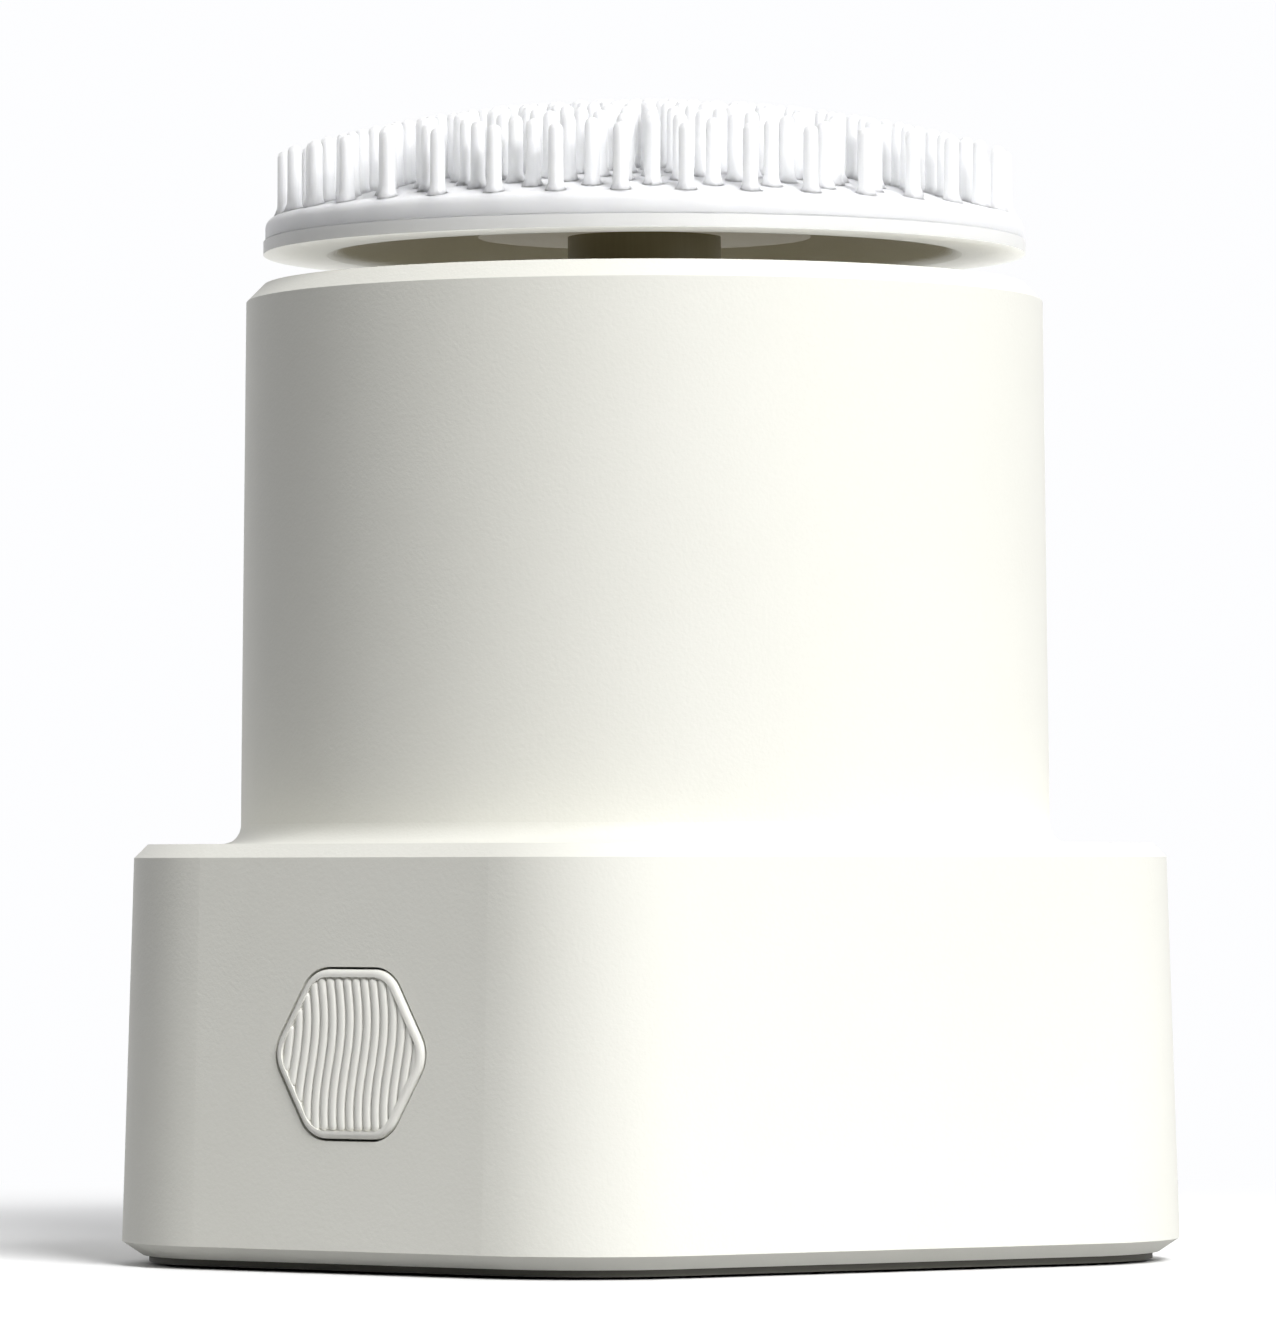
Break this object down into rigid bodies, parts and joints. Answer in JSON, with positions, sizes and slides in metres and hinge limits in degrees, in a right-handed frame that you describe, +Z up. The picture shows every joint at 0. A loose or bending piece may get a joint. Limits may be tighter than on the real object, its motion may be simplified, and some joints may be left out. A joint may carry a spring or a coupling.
{
  "type": "air purifier",
  "caption": "Desktop air purifier with a rounded polygonal base, hexagonal push button, round tower and a raised cap covered in pins that lowers to close the outlet.",
  "frame": {"origin": "on the tower's axis at the level of the feet", "axes": "+Z up along the tower's axis; -Y out of the face with the button; +X to the right when looking at that face"},
  "size_m": [0.157, 0.148, 0.1728],
  "materials": {
    "casing": "fine spark-eroded texture, warm off-white",
    "dark_base": "matt dark olive grey",
    "feet_rubber": "matt",
    "screw_steel": "zinc plated",
    "grille": "matt, as the casing",
    "filter_paper": "pleated glass-fibre paper",
    "carbon": "black carbon felt",
    "prefilter": "woven nylon mesh",
    "filter_plastic": "moulded",
    "seal_rubber": "soft",
    "inner_plastic": "moulded",
    "bearing_steel": "ground",
    "stator_steel": "laminated",
    "magnet": "bonded ferrite",
    "fan_plastic": "moulded",
    "guard": "matt dark olive",
    "bush": "acetal",
    "stem": "smooth dark olive",
    "clip_steel": "spring steel",
    "carrier_resin": "layered resin, satin",
    "cap_resin": "slightly translucent white resin",
    "button": "satin with moulded ribs",
    "circuit_board": "solder resist",
    "switch_body": "moulded",
    "switch_plastic": "moulded",
    "socket_metal": "stamped shell"
  },
  "bodies": {
    "root": {"outer_casing": "casing", "base_plate": "dark_base", "rubber_feet": "feet_rubber", "base_screws": "screw_steel", "intake_grille_left": "grille", "intake_grille_right": "grille", "filter_media": "filter_paper", "carbon_layer": "carbon", "prefilter_sleeve": "prefilter", "filter_bottom_cap": "filter_plastic", "filter_top_cap": "filter_plastic", "filter_gasket": "seal_rubber", "fan_duct": "inner_plastic", "duct_screws": "screw_steel", "motor_bracket": "inner_plastic", "bracket_screws": "screw_steel", "motor_bearings": "bearing_steel", "motor_stator": "stator_steel", "outlet_guard": "guard", "guard_screws": "screw_steel", "stem_bush": "bush", "stem_seal": "seal_rubber", "button_guide": "inner_plastic", "control_board": "circuit_board", "board_screws": "screw_steel", "tact_switch": "switch_body", "power_socket": "socket_metal", "power_board": "circuit_board"},
    "fan_rotor": {"impeller": "fan_plastic", "rotor_magnet": "magnet", "motor_shaft": "bearing_steel"},
    "cap": {"cap_stem": "stem", "stem_clip": "clip_steel", "stem_screws": "screw_steel", "cap_carrier": "carrier_resin", "pin_cap": "cap_resin"},
    "button": {"button_cap": "button", "switch_plunger": "switch_plastic"}
  },
  "joints": [
    {"name": "fan_spin", "type": "hinge", "parent": "root", "child": "fan_rotor", "pos_m": [0, 0, 0.1], "axis": [0, 0, 1], "continuous": true},
    {"name": "cap_lift", "type": "slide", "parent": "root", "child": "cap", "axis": [0, 0, 1], "range_m": [-0.0043, 0]},
    {"name": "button_press", "type": "slide", "parent": "root", "child": "button", "axis": [0, 1, 0], "range_m": [0, 0.0008], "stiffness_N_per_m": 1500, "springref_m": -0.0002}
  ]
}
